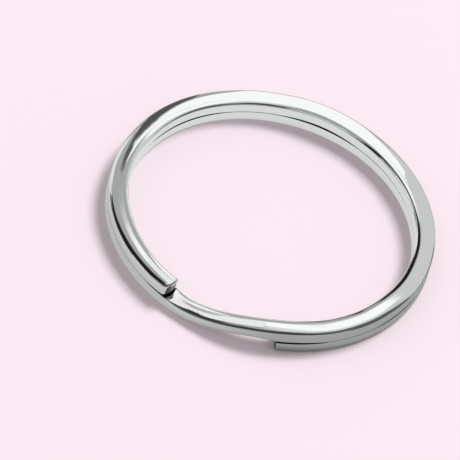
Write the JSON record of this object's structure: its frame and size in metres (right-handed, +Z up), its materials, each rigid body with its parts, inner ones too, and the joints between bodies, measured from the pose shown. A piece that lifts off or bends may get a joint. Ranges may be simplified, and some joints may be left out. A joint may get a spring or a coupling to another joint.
{
  "type": "split key ring",
  "caption": "Split key ring of bright plated wire, wound flat on itself with free ends, so that keys and tags thread on and stay on.",
  "frame": {"origin": "on the ring's axis, in the plane of the lower turn's underside, which the ring lies on", "axes": "+Z up along the ring's axis; -Y is the side where the wire climbs from the lower turn to the upper one, between the free ends; +X to the right of that side"},
  "size_m": [0.03, 0.03, 0.0025],
  "materials": {
    "bright_plate": "bright nickel plate over spring steel, polished"
  },
  "bodies": {
    "root": {"split_ring": "bright_plate"}
  },
  "joints": []
}
